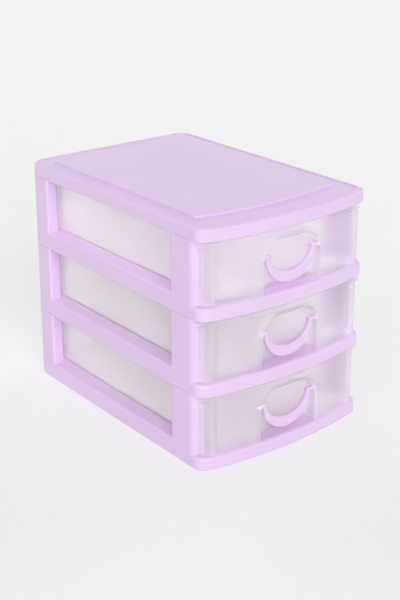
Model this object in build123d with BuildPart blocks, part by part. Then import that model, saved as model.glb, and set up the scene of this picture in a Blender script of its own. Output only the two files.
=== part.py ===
from build123d import *
import os
from math import sqrt

# Three-tier desktop drawer organizer, in millimetres.
# The front faces -Y, +Z is up, and the origin lies under the middle of the case.

# Case
WIDTH = 130.0
DEPTH = 190.0
BOW = 7.6  # how far the middle of the front stands out past its corners
FRONT_CORNER_R = 8.0
BACK_CORNER_R = 11.5
TIER_COUNT = 3
TIER_PITCH = 47.3  # from the lower edge of one tier to the lower edge of the next

# Tier frame: a tray with a skirt, low rails and four corner posts
SKIRT_WALL = 2.2
FLOOR_T = 1.8
FRONT_RAIL_H = 8.3
RAIL_ROUND = 2.4
SEAM_ROUND = 0.5
SIDE_RAIL_H = 11.0
SIDE_RAIL_W = 11.0
BACK_RAIL_W = 11.0
POST_SETBACK = 5.5  # from the front corners of the case to the front of the posts
POST_FRONT_R = 5.5
POST_D = 22.4
POST_T = 7.5
BACK_POST_W = 20.0
WINDOW_ROUND = 1.5

# Tongues on the post tops, which stand inside the skirt of the tier or lid above
TONGUE_T = 2.0
TONGUE_LENGTH = 9.0
TONGUE_H = 4.0
TONGUE_ROOT = 6.0
TONGUE_CLEARANCE = 0.2
TONGUE_BITE = 0.6  # how far a tongue is sunk into its post's wall

# Lid
LID_RIM_H = 9.0
LID_T = 2.0
RIM_BEVEL_W = 3.6
RIM_BEVEL_H = 1.3
RIM_ROUND = 1.6
GUTTER_INSET = 4.9
GUTTER_DEPTH = 0.6
PANEL_SIDE_INSET = 10.0
PANEL_FRONT_INSET = 18.5
PANEL_BACK_INSET = 16.0
PANEL_RAISE = 1.1  # above the highest line of the rim
PANEL_CORNER_R = 4.0
PANEL_ROUND = 0.9

# Drawer
SEAT_CLEARANCE = 0.3
SIDE_CLEARANCE = 0.5
TOP_CLEARANCE = 0.5
POST_CLEARANCE = 0.3
BACK_CLEARANCE = 1.0
FRONT_INSET = 1.4  # of the drawer front behind the bow of the case
FRONT_SIDE_INSET = 3.0  # of the drawer front's ends from the sides of the case
FRONT_END_R = 8.0
FRONT_T = 2.0
LIP_INSET = 0.8  # of the lip from the outline of the case
LIP_H = 3.2
LIP_ROUND = 0.5
DRAWER_WALL = 1.6
DRAWER_FLOOR = 1.6
DRAWER_CORNER_R = 6.0
DRAWER_BASE_R = 3.0

# Finger pocket in the drawer front, open below
POCKET_W = 44.0
POCKET_H = 31.8
POCKET_R = 14.5
POCKET_DEPTH = 8.5
POCKET_BACK_R = 2.5
POCKET_EDGE_R = 0.7

# Bail handle: a crescent with a pin at each end
PIVOT_H = 21.2  # above the lower edge of the drawer
PIVOT_SETBACK = 3.8  # behind the foremost line of the drawer front
HANDLE_HALF_W = 19.3
HANDLE_DROP = 18.8
HANDLE_ARM = 3.2
HANDLE_BAR = 7.4
HANDLE_T = 3.2
HANDLE_ROUND = 1.0
PIN_D = 3.0
PIN_CLEARANCE = 0.2
PIN_END = 0.6  # how far a pin stands out of the far side of the pocket wall
PIN_CHAMFER = 0.4

# How near a selected edge has to be to its plane
TOLERANCE = 0.01

# Places that follow from the sizes
FRONT_EDGE = -DEPTH / 2
BACK_EDGE = DEPTH / 2
BOW_RADIUS = ((WIDTH / 2) ** 2 + BOW**2) / (2 * BOW)
BOW_CENTRE = FRONT_EDGE + BOW_RADIUS
POST_WALL = SKIRT_WALL + TONGUE_CLEARANCE + TONGUE_BITE
POST_FRONT = FRONT_EDGE + BOW + POST_SETBACK
WINDOW_FRONT = POST_FRONT + POST_D
WINDOW_BACK = BACK_EDGE - POST_D
WINDOW_MIDDLE = (WINDOW_FRONT + WINDOW_BACK) / 2
WINDOW_LENGTH = WINDOW_BACK - WINDOW_FRONT
BACK_WINDOW_HALF = WIDTH / 2 - BACK_POST_W
BAY_HALF = WIDTH / 2 - SIDE_RAIL_W
BAY_BACK = BACK_EDGE - BACK_RAIL_W
TONGUE_X = WIDTH / 2 - SKIRT_WALL - TONGUE_CLEARANCE - TONGUE_T / 2
FRONT_TONGUE_Y = (POST_FRONT + POST_FRONT_R + WINDOW_FRONT) / 2
BACK_TONGUE_Y = (WINDOW_BACK + BACK_EDGE - BACK_CORNER_R) / 2
LID_LOW = TIER_COUNT * TIER_PITCH
LID_RIM_TOP = LID_LOW + LID_RIM_H
GUTTER_LEVEL = LID_RIM_TOP - GUTTER_DEPTH
FRONT_TIP = FRONT_EDGE + FRONT_INSET
DRAWER_HALF = BAY_HALF - SIDE_CLEARANCE
DRAWER_BACK = BAY_BACK - BACK_CLEARANCE
DRAWER_LOW = FRONT_RAIL_H + SEAT_CLEARANCE
DRAWER_TOP = TIER_PITCH - TOP_CLEARANCE
DRAWER_H = DRAWER_TOP - DRAWER_LOW
FRONT_ENDS = POST_FRONT - POST_CLEARANCE
POCKET_BACK = FRONT_TIP + POCKET_DEPTH
POCKET_TOP = DRAWER_LOW + POCKET_H
PIVOT_Y = FRONT_TIP + PIVOT_SETBACK
PIVOT_Z = DRAWER_LOW + PIVOT_H
PIN_ROOT = HANDLE_HALF_W - HANDLE_ARM
PIN_TIP = POCKET_W / 2 + DRAWER_WALL + PIN_END


def bowed_outline(half, tip, back, front_radius, back_radius):
    """Plan outline with straight sides and back, and a front that is concentric with the case's bow."""
    shoulder = BOW_CENTRE - sqrt((BOW_CENTRE - tip) ** 2 - half**2)
    with BuildSketch() as outline:
        with BuildLine():
            ThreePointArc((-half, shoulder), (0, tip), (half, shoulder))
            Polyline((half, shoulder), (half, back), (-half, back), (-half, shoulder))
        make_face()
        if front_radius > 0:
            fillet(outline.vertices().group_by(Axis.Y)[0], front_radius)
        fillet(outline.vertices().group_by(Axis.Y)[-1], back_radius)
    return outline.sketch


def case_outline(inset):
    """The case's plan outline, drawn in all round."""
    return bowed_outline(
        WIDTH / 2 - inset,
        FRONT_EDGE + inset,
        BACK_EDGE - inset,
        FRONT_CORNER_R - inset,
        BACK_CORNER_R - inset,
    )


def front_outline(inset):
    """Plan outline whose front edge is the face of the drawer front, drawn in all round."""
    return bowed_outline(
        WIDTH / 2 - FRONT_SIDE_INSET - inset,
        FRONT_TIP + inset,
        BACK_EDGE - inset,
        FRONT_END_R - inset,
        BACK_CORNER_R - inset,
    )


def post_outline(inset):
    """Plan outline round the four posts, drawn in all round."""
    half = WIDTH / 2 - inset
    front = POST_FRONT + inset
    back = BACK_EDGE - inset
    with BuildSketch() as outline:
        with BuildLine():
            Polyline((-half, front), (half, front), (half, back), (-half, back), close=True)
        make_face()
        fillet(outline.vertices().group_by(Axis.Y)[0], POST_FRONT_R - inset)
        fillet(outline.vertices().group_by(Axis.Y)[-1], BACK_CORNER_R - inset)
    return outline.sketch


def doorway(half, low, top, radius):
    """Front outline of the finger pocket: straight sides and a rounded top."""
    with BuildSketch() as outline:
        with BuildLine():
            Polyline((-half, low), (half, low), (half, top), (-half, top), close=True)
        make_face()
        fillet(outline.vertices().group_by(Axis.Y)[-1], radius)
    return outline.sketch


def at(edges, axis, place):
    """The edges whose middle lies at one place along an axis."""
    return edges.filter_by_position(axis, place - TOLERANCE, place + TOLERANCE)


def between(edges, axis, low, high):
    """The edges whose middle lies between two places along an axis."""
    return edges.filter_by_position(axis, low - TOLERANCE, high + TOLERANCE)


# Tier frame
with BuildPart() as tier_frame:
    with BuildSketch():
        add(case_outline(0))
    extrude(amount=FRONT_RAIL_H)
    fillet(tier_frame.edges().group_by(Axis.Z)[-1], RAIL_ROUND)
    fillet(tier_frame.edges().group_by(Axis.Z)[0], SEAM_ROUND)

    # Side rails, back rail and posts start as one block on the tray
    block_low = FRONT_RAIL_H / 2
    with BuildSketch(Plane.XY.offset(block_low)):
        add(post_outline(0))
    extrude(amount=TIER_PITCH - block_low)

    # The drawer bay, the room between the posts, the two side windows and the back window
    for width, front, back, low in (
        (2 * BAY_HALF, FRONT_EDGE, BAY_BACK, FRONT_RAIL_H),
        (WIDTH - 2 * POST_T, FRONT_EDGE, BACK_EDGE - POST_T, SIDE_RAIL_H),
        (2 * WIDTH, WINDOW_FRONT, WINDOW_BACK, SIDE_RAIL_H),
        (2 * BACK_WINDOW_HALF, WINDOW_BACK, BACK_EDGE + POST_T, SIDE_RAIL_H),
    ):
        with BuildSketch(Plane.XY.offset(low)):
            with Locations((0, (front + back) / 2)):
                Rectangle(width, back - front)
        extrude(amount=TIER_PITCH - low, mode=Mode.SUBTRACT)

    # Posts are open channels towards the drawer
    with BuildSketch(Plane.XY.offset(SIDE_RAIL_H)):
        add(post_outline(POST_WALL))
        with Locations((0, WINDOW_MIDDLE)):
            Rectangle(2 * WIDTH, WINDOW_LENGTH + 2 * POST_WALL, mode=Mode.SUBTRACT)
        with Locations((0, BACK_EDGE)):
            Rectangle(2 * (BACK_WINDOW_HALF + POST_WALL), 2 * POST_D, mode=Mode.SUBTRACT)
    extrude(amount=TIER_PITCH - SIDE_RAIL_H, mode=Mode.SUBTRACT)

    # Rounded outer edges of the windows
    upper = between(tier_frame.edges(), Axis.Z, SIDE_RAIL_H, TIER_PITCH - FLOOR_T)
    window_edges = between(at(upper, Axis.Y, BACK_EDGE), Axis.X, -BACK_WINDOW_HALF, BACK_WINDOW_HALF)
    for side in (-1, 1):
        window_edges += between(at(upper, Axis.X, side * WIDTH / 2), Axis.Y, WINDOW_FRONT, WINDOW_BACK)
    fillet(window_edges, WINDOW_ROUND)

    # Hollow underside
    with BuildSketch():
        add(case_outline(SKIRT_WALL))
    extrude(amount=FRONT_RAIL_H - FLOOR_T, mode=Mode.SUBTRACT)

    # Locating tongues
    with BuildSketch(Plane.XY.offset(TIER_PITCH - TONGUE_ROOT)):
        with Locations(*[(x, y) for x in (-TONGUE_X, TONGUE_X) for y in (FRONT_TONGUE_Y, BACK_TONGUE_Y)]):
            Rectangle(TONGUE_T, TONGUE_LENGTH)
    extrude(amount=TONGUE_ROOT + TONGUE_H)

# Lid
with BuildPart() as lid:
    with BuildSketch(Plane.XY.offset(LID_LOW)):
        add(case_outline(0))
    extrude(amount=LID_RIM_H)
    top_face = lid.faces().sort_by(Axis.Z)[-1]
    chamfer(top_face.edges(), RIM_BEVEL_W, RIM_BEVEL_H, reference=top_face)
    fillet(between(lid.edges(), Axis.Z, LID_RIM_TOP - RIM_BEVEL_H, LID_RIM_TOP), RIM_ROUND)
    fillet(lid.edges().group_by(Axis.Z)[0], SEAM_ROUND)
    with BuildSketch(Plane.XY.offset(GUTTER_LEVEL)):
        add(case_outline(GUTTER_INSET))
    extrude(amount=GUTTER_DEPTH, mode=Mode.SUBTRACT)
    with BuildSketch(Plane.XY.offset(GUTTER_LEVEL)):
        add(
            bowed_outline(
                WIDTH / 2 - PANEL_SIDE_INSET,
                FRONT_EDGE + PANEL_FRONT_INSET,
                BACK_EDGE - PANEL_BACK_INSET,
                PANEL_CORNER_R,
                PANEL_CORNER_R,
            )
        )
    extrude(amount=GUTTER_DEPTH + PANEL_RAISE)
    fillet(lid.edges().group_by(Axis.Z)[-1], PANEL_ROUND)
    with BuildSketch(Plane.XY.offset(LID_LOW)):
        add(case_outline(SKIRT_WALL))
    extrude(amount=LID_RIM_H - GUTTER_DEPTH - LID_T, mode=Mode.SUBTRACT)

# Walls round the finger pocket, cut to the drawer front's curve
with BuildPart() as pocket_shell:
    with BuildSketch(Plane.XZ.offset(-(POCKET_BACK + DRAWER_WALL))):
        add(
            doorway(
                POCKET_W / 2 + DRAWER_WALL,
                DRAWER_LOW,
                POCKET_TOP + DRAWER_WALL,
                POCKET_R + DRAWER_WALL,
            )
        )
    extrude(amount=POCKET_DEPTH + DRAWER_WALL + FRONT_INSET)
    back_loop = pocket_shell.edges().group_by(Axis.Y)[-1]
    arch_edges = back_loop.filter_by_position(Axis.Z, DRAWER_LOW + TOLERANCE, TIER_PITCH)
    fillet(arch_edges, POCKET_BACK_R + DRAWER_WALL)
    with BuildSketch(Plane.XY.offset(DRAWER_LOW)):
        add(front_outline(0))
    extrude(amount=DRAWER_H, mode=Mode.INTERSECT)

# Room inside the finger pocket
with BuildPart() as pocket_void:
    with BuildSketch(Plane.XZ.offset(-POCKET_BACK)):
        add(doorway(POCKET_W / 2, 0, POCKET_TOP, POCKET_R))
    extrude(amount=POCKET_DEPTH + FRONT_INSET)
    back_loop = pocket_void.edges().group_by(Axis.Y)[-1]
    arch_edges = back_loop.filter_by_position(Axis.Z, TOLERANCE, TIER_PITCH)
    fillet(arch_edges, POCKET_BACK_R)

# Drawer
with BuildPart() as drawer:
    with BuildSketch(Plane.XY.offset(DRAWER_LOW)):
        add(bowed_outline(DRAWER_HALF, FRONT_TIP, DRAWER_BACK, 0, DRAWER_CORNER_R))
    extrude(amount=DRAWER_H)
    base_loop = drawer.edges().group_by(Axis.Z)[0]
    fillet(base_loop.sort_by(Axis.Y)[1:], DRAWER_BASE_R)
    with BuildSketch(Plane.XY.offset(DRAWER_LOW + DRAWER_FLOOR)):
        add(
            bowed_outline(
                DRAWER_HALF - DRAWER_WALL,
                FRONT_TIP + FRONT_T,
                DRAWER_BACK - DRAWER_WALL,
                0,
                DRAWER_CORNER_R - DRAWER_WALL,
            )
        )
    extrude(amount=DRAWER_H, mode=Mode.SUBTRACT)
    fillet(at(drawer.edges(), Axis.Z, DRAWER_LOW + DRAWER_FLOOR), DRAWER_BASE_R - DRAWER_WALL)

    # Overlay front with rounded ends, and the lip along its top
    for outline, low in (
        (front_outline(0), DRAWER_LOW),
        (case_outline(LIP_INSET), DRAWER_TOP - LIP_H),
    ):
        with BuildSketch(Plane.XY.offset(low)):
            add(outline)
            add(front_outline(FRONT_T), mode=Mode.SUBTRACT)
            with Locations((0, FRONT_ENDS)):
                Rectangle(2 * WIDTH, DEPTH, align=(Align.CENTER, Align.MIN), mode=Mode.SUBTRACT)
        extrude(amount=DRAWER_TOP - low)

    # Softened outer edges of the lip
    arcs = drawer.edges().filter_by(GeomType.CIRCLE)
    lip_front = arcs.filter_by(lambda edge: abs(edge.radius - (BOW_RADIUS - LIP_INSET)) < TOLERANCE)
    lip_ends = arcs.filter_by(lambda edge: abs(edge.radius - (FRONT_CORNER_R - LIP_INSET)) < TOLERANCE)
    fillet(lip_front + lip_ends, LIP_ROUND)

    # Finger pocket with a softened mouth
    add(pocket_shell.part)
    add(pocket_void.part, mode=Mode.SUBTRACT)
    near_front = between(drawer.edges(), Axis.Y, FRONT_TIP, PIVOT_Y - PIN_D / 2)
    mouth = between(near_front, Axis.X, -POCKET_W / 2, POCKET_W / 2)
    fillet(between(mouth, Axis.Z, DRAWER_LOW + FRONT_T, POCKET_TOP), POCKET_EDGE_R)

    # Pin holes in the pocket's side walls
    with BuildSketch(Plane.YZ):
        with Locations((PIVOT_Y, PIVOT_Z)):
            Circle(PIN_D / 2 + PIN_CLEARANCE)
    extrude(amount=PIN_TIP, both=True, mode=Mode.SUBTRACT)

# Bail handle
with BuildPart() as handle:
    with BuildSketch(Plane.XZ.offset(-PIVOT_Y)):
        with BuildLine():
            EllipticalCenterArc((0, PIVOT_Z), HANDLE_HALF_W, HANDLE_DROP, 180, arc_size=180)
            Line((HANDLE_HALF_W, PIVOT_Z), (HANDLE_HALF_W - HANDLE_ARM, PIVOT_Z))
            EllipticalCenterArc(
                (0, PIVOT_Z), HANDLE_HALF_W - HANDLE_ARM, HANDLE_DROP - HANDLE_BAR, 180, arc_size=180
            )
            Line((HANDLE_ARM - HANDLE_HALF_W, PIVOT_Z), (-HANDLE_HALF_W, PIVOT_Z))
        make_face()
        with Locations(*[(side * (HANDLE_HALF_W - HANDLE_ARM / 2), PIVOT_Z) for side in (-1, 1)]):
            Circle(HANDLE_ARM / 2)
    extrude(amount=HANDLE_T / 2, both=True)
    faces = handle.faces().filter_by(Axis.Y)
    fillet(faces.edges(), HANDLE_ROUND)
    for side in (-1, 1):
        with BuildSketch(Plane.YZ.offset(side * PIN_ROOT)):
            with Locations((PIVOT_Y, PIVOT_Z)):
                Circle(PIN_D / 2)
        extrude(amount=side * (PIN_TIP - PIN_ROOT))
    pin_ends = handle.faces().sort_by(Axis.X)
    chamfer(pin_ends[0].edges() + pin_ends[-1].edges(), PIN_CHAMFER)

# One file for each piece
os.makedirs("parts", exist_ok=True)
lid.part.label = "lid"
export_step(lid.part, "parts/lid.step")
for tier in range(TIER_COUNT):
    for name, piece in (("tier_frame", tier_frame), ("drawer", drawer), ("handle", handle)):
        with BuildPart() as placed:
            with Locations((0, 0, tier * TIER_PITCH)):
                add(piece.part)
        placed.part.label = f"{name}_{tier + 1}"
        export_step(placed.part, f"parts/{placed.part.label}.step")
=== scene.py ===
import math

import bpy
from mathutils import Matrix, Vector

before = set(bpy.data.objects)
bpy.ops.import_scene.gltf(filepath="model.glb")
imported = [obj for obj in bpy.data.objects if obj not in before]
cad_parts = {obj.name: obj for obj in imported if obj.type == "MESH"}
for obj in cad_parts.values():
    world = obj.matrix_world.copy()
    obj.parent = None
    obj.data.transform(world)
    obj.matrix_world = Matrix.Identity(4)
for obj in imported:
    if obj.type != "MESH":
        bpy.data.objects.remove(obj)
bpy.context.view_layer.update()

WHITE = (1.0, 1.0, 1.0)

# Camera, in metres and degrees, for an image of 400 by 600
LENS_MM = 71.1
SENSOR_MM = 36.0
CAMERA_TARGET = Vector((0.02719, 0.02864, 0.0930))
CAMERA_AZIMUTH = -38.49
CAMERA_ELEVATION = 19.22
CAMERA_DISTANCE = 0.80419
LENS_SHIFT_Y = -0.10
CLIP_START = 0.01
CLIP_END = 100.0

# Sky that lights the object, from the horizon to the zenith, with heights as the sine of the elevation
HORIZON_LEVEL = 0.42
HORIZON_UP_TO = 0.45
ZENITH_LEVEL = 0.06
ZENITH_FROM = 0.95
BACKDROP = 0.96  # level of the even background that the camera sees

# Each lamp as its level, its azimuth and elevation, and the angle that it fills, in degrees
KEY_LAMP = (1.82, -20.0, 25.0, 32.0)
SIDE_LAMP = (0.845, -80.0, 40.0, 70.0)
RIGHT_LAMP = (1.08, 98.0, 22.0, 40.0)
BACK_LAMP = (1.00, 176.0, 25.0, 40.0)
MIRRORED_LAMPS = ("key", "side")  # the lamps that show as highlights

# Floor, in metres
FLOOR_HALF = 12.0
FLOOR_LEVEL = -0.0002
FLOOR_WHITE = 0.88
FLOOR_EVEN = 0.50  # how much of the seen floor is even and takes no shadow

# Skin of both plastics: a slow drift, a mottle and a fine grain, as noise
NOISE_DETAILS = (3.0, 3.0, 2.0)
DRIFT_LOW = 0.3
DRIFT_HIGH = 0.7
ROUGH_SPREAD = 0.05
BUMP_DEPTH = 0.0002

# Lilac plastic, with linear colours
LILAC = (0.735, 0.564, 0.798)
LILAC_DEEP = 0.975
LILAC_PALE = 1.02
LILAC_MOTTLED = 0.96
LILAC_MOTTLE_SHARE = 0.30
LILAC_SCALES = (14.0, 420.0, 2600.0)
LILAC_ROUGH = 0.32
LILAC_IOR = 1.46
LILAC_BUMP = 0.10
LILAC_BUMP_SHARES = (0.6, 0.4)  # of the mottle and the grain
LILAC_PASS = (0.66, 0.59, 0.68)  # of lamp light, at each face

# Edges of the lilac plastic, where the rounded normal leaves the flat one; there the colour is paled as a painted
# highlight, and the roughness is lowered
EDGE_RADIUS = 0.0005
EDGE_SAMPLES = 6
EDGE_FULL_AT = 0.80  # as the cosine between the two normals
EDGE_NONE_AT = 0.99
EDGE_SHARE = 0.35
# painted highlight: how much paler the lilac is made along the edges
EDGE_PAINTED_HIGHLIGHT = 1.10
EDGE_SMOOTHER = 0.15

# Frosted plastic, with linear colours
FROST_SIDE = (0.947, 0.937, 0.932)
FROST_FRONT = (0.957, 0.937, 0.952)
FROST_DEEP = 0.96
FROST_PALE = 1.02
FROST_MOTTLED = 0.6
FROST_SCALES = (18.0, 500.0, 2200.0)
FROST_ROUGH = 0.45
FROST_IOR = 1.10
FROST_COAT = 0.4
FROST_COAT_ROUGH = 0.22
FROST_BUMP = 0.12
FROST_BUMP_SHARES = (0.5, 0.5)  # of the mottle and the grain

# How far each zone of a drawer is seen through
SIDE_SEE = 0.77
FRONT_SEE = 0.88
END_SEE = 0.86  # at the ends of the front, which lie on the posts
WALL_SEE = 0.97  # on the walls beside the front posts
BASE_SEE = 0.38  # on the floor

# How much lamp light passes each zone of a drawer, at each face
SIDE_PASS = (0.88, 0.88, 0.875)
FRONT_PASS = (0.93, 0.925, 0.93)
END_PASS = (0.50, 0.49, 0.50)
BASE_PASS = (0.42, 0.415, 0.42)

# Where the zones of a drawer begin and are full, in metres
FRONT_FROM = -0.078  # along Y
FRONT_TO = -0.083
END_FROM = 0.0540  # along X, off the middle
END_TO = 0.0575
WALL_OUT = 0.0495  # along X, off the middle
WALL_FROM = -0.058  # along Y
WALL_TO = -0.066
TIER_PITCH = 0.0473  # along Z
BASE_TOP = 0.0107  # above the bottom of each tier


class Tree:
    """The node tree of a material or the world, with short ways to add and join nodes."""

    def __init__(self, owner, output="ShaderNodeOutputMaterial"):
        owner.use_nodes = True
        self.nodes = owner.node_tree.nodes
        self.links = owner.node_tree.links
        self.nodes.clear()
        self.out = self.nodes.new(output)

    def add(self, kind, settings=None, **inputs):
        made = self.nodes.new(kind)
        for name, value in (settings or {}).items():
            setattr(made, name, value)
        for name, value in inputs.items():
            self.put(made, name.replace("_", " "), value)
        return made

    def put(self, node, socket, value):
        """Joins an input, given by its name or its place, to an output, or sets its value."""
        target = node.inputs[socket]
        if isinstance(value, bpy.types.NodeSocket):
            self.links.new(value, target)
        else:
            target.default_value = value

    def put_all(self, node, values):
        """Fills inputs from pairs of a name or a place, and a value."""
        for socket, value in values:
            self.put(node, socket, value)
        return node

    def noise(self, vector, scale, detail):
        made = self.add("ShaderNodeTexNoise", Vector=vector, Scale=scale, Detail=detail)
        return made.outputs["Fac"]

    def ranged(self, value, low, high, start=0.0, stop=1.0, interpolation="LINEAR"):
        """A value that goes from low to high while another goes from start to stop."""
        made = self.add("ShaderNodeMapRange", {"interpolation_type": interpolation}, Value=value)
        self.put_all(made, (("From Min", start), ("From Max", stop), ("To Min", low), ("To Max", high)))
        return made.outputs["Result"]

    def maths(self, operation, first, second=0.0):
        made = self.add("ShaderNodeMath", {"operation": operation})
        return self.put_all(made, enumerate((first, second))).outputs["Value"]

    def mixed(self, factor, first, second):
        """Two colours mixed, by their places among the inputs of a mix of colours."""
        made = self.add("ShaderNodeMix", {"data_type": "RGBA"})
        return self.put_all(made, ((0, factor), (6, first), (7, second))).outputs[2]

    def blend(self, share, first, second):
        """Two shaders mixed, with a share of the second."""
        made = self.add("ShaderNodeMixShader")
        return self.put_all(made, enumerate((share, first, second))).outputs["Shader"]


def solid(colour):
    return colour + (1.0,)


def shade(colour, factor):
    return solid(tuple(min(1.0, channel * factor) for channel in colour))


def skin_noises(tree, place, scales):
    """The slow drift, the mottle and the fine grain of a moulded skin."""
    return [tree.noise(place, scale, detail) for scale, detail in zip(scales, NOISE_DETAILS)]


def skin_bump(tree, noises, shares, strength):
    """A shallow bump from the mottle and the grain."""
    heights = [tree.maths("MULTIPLY", noise, share) for noise, share in zip(noises, shares)]
    return tree.add("ShaderNodeBump", Strength=strength, Distance=BUMP_DEPTH, Height=tree.maths("ADD", *heights))


def let_through(tree, surface, passed):
    """Lamp light passes the thin walls of a plastic, and all other light meets its surface."""
    clear = tree.add("ShaderNodeBsdfTransparent", Color=passed)
    shadow_ray = tree.add("ShaderNodeLightPath").outputs["Is Shadow Ray"]
    shader = tree.blend(shadow_ray, surface.outputs["BSDF"], clear.outputs["BSDF"])
    tree.put(tree.out, "Surface", shader)


def lilac_plastic():
    """Moulded plastic that looks opaque: slow drifts in the colour, a fine grain, and smoother edges with a
    painted highlight that pales them.
    """
    material = bpy.data.materials.new("lilac_moulded")
    tree = Tree(material)
    place = tree.add("ShaderNodeTexCoord").outputs["Object"]
    drift, mottle, grain = skin_noises(tree, place, LILAC_SCALES)

    spread = tree.ranged(drift, 0.0, 1.0, DRIFT_LOW, DRIFT_HIGH)
    colour = tree.mixed(spread, shade(LILAC, LILAC_DEEP), shade(LILAC, LILAC_PALE))
    mottled = tree.ranged(mottle, 0.0, LILAC_MOTTLE_SHARE)
    colour = tree.mixed(mottled, colour, shade(LILAC, LILAC_MOTTLED))

    rounded = tree.add("ShaderNodeBevel", {"samples": EDGE_SAMPLES}, Radius=EDGE_RADIUS).outputs["Normal"]
    flat = tree.add("ShaderNodeNewGeometry").outputs["Normal"]
    along = tree.add("ShaderNodeVectorMath", {"operation": "DOT_PRODUCT"})
    tree.put_all(along, enumerate((rounded, flat)))
    edge_highlight_and_smoothing = tree.ranged(along.outputs["Value"], EDGE_SHARE, 0.0, EDGE_FULL_AT, EDGE_NONE_AT)
    # painted highlight: the lilac is paled along the edges
    colour = tree.mixed(edge_highlight_and_smoothing, colour, shade(LILAC, EDGE_PAINTED_HIGHLIGHT))

    roughness = tree.ranged(mottle, LILAC_ROUGH - ROUGH_SPREAD, LILAC_ROUGH + ROUGH_SPREAD)
    roughness = tree.maths("SUBTRACT", roughness, tree.maths("MULTIPLY", edge_highlight_and_smoothing, EDGE_SMOOTHER))
    bump = skin_bump(tree, (mottle, grain), LILAC_BUMP_SHARES, LILAC_BUMP)
    tree.put(bump, "Normal", rounded)
    surface = tree.add(
        "ShaderNodeBsdfPrincipled",
        Base_Color=colour, Roughness=roughness, IOR=LILAC_IOR, Normal=bump.outputs["Normal"],
    )
    let_through(tree, surface, solid(LILAC_PASS))
    return material


def drawer_zones(tree, place):
    """Masks by place on a drawer: its front, the front's ends, the walls beside the front posts, and its floor."""
    apart = tree.add("ShaderNodeSeparateXYZ", Vector=place)
    off_middle = tree.maths("ABSOLUTE", apart.outputs["X"])
    front = tree.ranged(apart.outputs["Y"], 0.0, 1.0, FRONT_FROM, FRONT_TO)
    behind = tree.maths("SUBTRACT", 1.0, front)
    ends = tree.maths("MULTIPLY", front, tree.ranged(off_middle, 0.0, 1.0, END_FROM, END_TO))
    wall = tree.maths("MULTIPLY", behind, tree.maths("GREATER_THAN", off_middle, WALL_OUT))
    by_post = tree.ranged(apart.outputs["Y"], 0.0, 1.0, WALL_FROM, WALL_TO)
    beside = tree.maths("MULTIPLY", wall, by_post)
    in_tier = tree.maths("MODULO", apart.outputs["Z"], TIER_PITCH)
    base = tree.maths("MULTIPLY", behind, tree.maths("LESS_THAN", in_tier, BASE_TOP))
    return front, ends, beside, base


def frosted_plastic():
    """Milky see-through moulded plastic with a satin skin."""
    material = bpy.data.materials.new("frosted_moulded")
    tree = Tree(material)
    place = tree.add("ShaderNodeTexCoord").outputs["Object"]
    drift, mottle, grain = skin_noises(tree, place, FROST_SCALES)
    front, ends, beside, base = drawer_zones(tree, place)

    pale = tree.mixed(front, shade(FROST_SIDE, FROST_PALE), shade(FROST_FRONT, FROST_PALE))
    deep = tree.mixed(front, shade(FROST_SIDE, FROST_DEEP), shade(FROST_FRONT, FROST_DEEP))
    spread = tree.ranged(drift, 0.0, 1.0, DRIFT_LOW, DRIFT_HIGH)
    cloud = tree.maths("MULTIPLY", spread, tree.ranged(mottle, 1.0, FROST_MOTTLED))
    colour = tree.mixed(cloud, deep, pale)

    see = tree.ranged(front, SIDE_SEE, FRONT_SEE)
    for zone, change in (
        (ends, END_SEE - FRONT_SEE), (beside, WALL_SEE - SIDE_SEE), (base, BASE_SEE - SIDE_SEE),
    ):
        see = tree.maths("ADD", see, tree.maths("MULTIPLY", zone, change))

    roughness = tree.ranged(mottle, FROST_ROUGH - ROUGH_SPREAD, FROST_ROUGH + ROUGH_SPREAD)
    bump = skin_bump(tree, (mottle, grain), FROST_BUMP_SHARES, FROST_BUMP)
    surface = tree.add(
        "ShaderNodeBsdfPrincipled",
        Base_Color=colour, Roughness=roughness, IOR=FROST_IOR, Normal=bump.outputs["Normal"],
        Transmission_Weight=see, Coat_Weight=FROST_COAT, Coat_Roughness=FROST_COAT_ROUGH,
    )

    passed = solid(SIDE_PASS)
    for zone, zone_pass in ((front, FRONT_PASS), (ends, END_PASS), (base, BASE_PASS)):
        passed = tree.mixed(zone, passed, solid(zone_pass))
    let_through(tree, surface, passed)
    return material


def dress(nodes):
    """Each CAD node keeps its shape and gets its plastic."""
    lilac = lilac_plastic()
    frosted = frosted_plastic()
    for name, piece in nodes.items():
        piece.material_slots[0].material = frosted if name.startswith("drawer") else lilac


def seen_rays(tree):
    """A value that is 1 for rays from the camera, reflections and see-through pieces."""
    path = tree.add("ShaderNodeLightPath")
    value = path.outputs["Is Camera Ray"]
    for name in ("Is Glossy Ray", "Is Transmission Ray"):
        value = tree.maths("MAXIMUM", value, path.outputs[name])
    return value


def studio_floor():
    """A wide pale floor that keeps the object's shadow."""
    mesh = bpy.data.meshes.new("studio_floor")
    corners = [(x * FLOOR_HALF, y * FLOOR_HALF, 0.0) for x, y in ((-1, -1), (1, -1), (1, 1), (-1, 1))]
    mesh.from_pydata(corners, [], [(0, 1, 2, 3)])
    floor = bpy.data.objects.new("studio_floor", mesh)
    bpy.context.scene.collection.objects.link(floor)
    floor.location.z = FLOOR_LEVEL

    material = bpy.data.materials.new("studio_floor")
    tree = Tree(material)
    shaded = tree.add("ShaderNodeBsdfDiffuse", Color=solid((FLOOR_WHITE,) * 3))
    even = tree.add("ShaderNodeEmission", Color=solid(WHITE), Strength=BACKDROP)
    share = tree.maths("MULTIPLY", seen_rays(tree), FLOOR_EVEN)
    tree.put(tree.out, "Surface", tree.blend(share, shaded.outputs["BSDF"], even.outputs["Emission"]))
    mesh.materials.append(material)


def towards(azimuth, elevation):
    """The direction from the object to a place seen at an azimuth from the front, and an elevation."""
    azimuth, elevation = math.radians(azimuth), math.radians(elevation)
    return Vector((
        math.sin(azimuth) * math.cos(elevation),
        -math.cos(azimuth) * math.cos(elevation),
        math.sin(elevation),
    ))


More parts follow.
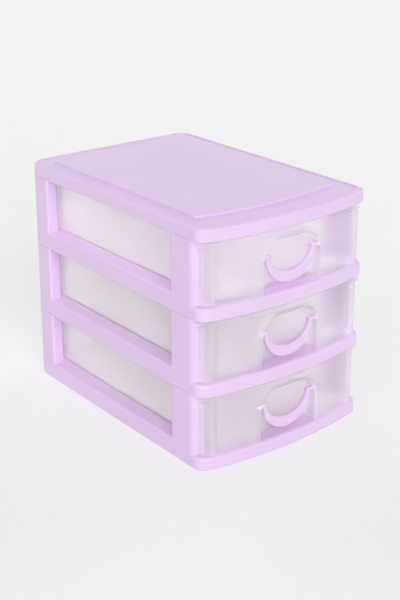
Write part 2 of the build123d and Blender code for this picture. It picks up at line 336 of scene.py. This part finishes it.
def studio_sky():
    """Soft light from all round that fades overhead, behind an even pale background."""
    world = bpy.data.worlds.new("studio")
    bpy.context.scene.world = world
    world.cycles.sampling_method = "NONE"
    tree = Tree(world, "ShaderNodeOutputWorld")
    place = tree.add("ShaderNodeTexCoord").outputs["Generated"]
    height = tree.add("ShaderNodeSeparateXYZ", Vector=place).outputs["Z"]
    level = tree.ranged(height, HORIZON_LEVEL, ZENITH_LEVEL, HORIZON_UP_TO, ZENITH_FROM, "SMOOTHSTEP")
    lit = tree.add("ShaderNodeBackground", Color=solid(WHITE), Strength=level)
    seen = tree.add("ShaderNodeBackground", Color=solid(WHITE), Strength=BACKDROP)
    shader = tree.blend(seen_rays(tree), lit.outputs["Background"], seen.outputs["Background"])
    tree.put(tree.out, "Surface", shader)


def studio_lamps():
    """A soft key near the camera, and weaker lamps on the left, on the right and behind."""
    lamps = {"key": KEY_LAMP, "side": SIDE_LAMP, "right": RIGHT_LAMP, "back": BACK_LAMP}
    for name, (level, azimuth, elevation, angle) in lamps.items():
        lamp = bpy.data.lights.new(name, "SUN")
        lamp.energy = level
        lamp.angle = math.radians(angle)
        lamp.cycles.use_multiple_importance_sampling = False
        lamp_object = bpy.data.objects.new(name, lamp)
        lamp_object.visible_glossy = name in MIRRORED_LAMPS
        bpy.context.scene.collection.objects.link(lamp_object)
        lamp_object.rotation_mode = "QUATERNION"
        lamp_object.rotation_quaternion = (-towards(azimuth, elevation)).to_track_quat("-Z", "Y")


def studio_camera():
    """A camera at the photo's place and lens."""
    back = towards(CAMERA_AZIMUTH, CAMERA_ELEVATION)
    data = bpy.data.cameras.new("camera")
    data.lens = LENS_MM
    data.sensor_width = SENSOR_MM
    data.shift_y = LENS_SHIFT_Y
    data.clip_start = CLIP_START
    data.clip_end = CLIP_END
    camera = bpy.data.objects.new("camera", data)
    bpy.context.scene.collection.objects.link(camera)
    camera.location = CAMERA_TARGET + back * CAMERA_DISTANCE
    camera.rotation_mode = "QUATERNION"
    camera.rotation_quaternion = (-back).to_track_quat("-Z", "Y")
    bpy.context.scene.camera = camera


dress(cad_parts)
studio_floor()
studio_sky()
studio_lamps()
studio_camera()
bpy.context.scene.view_settings.view_transform = "Standard"
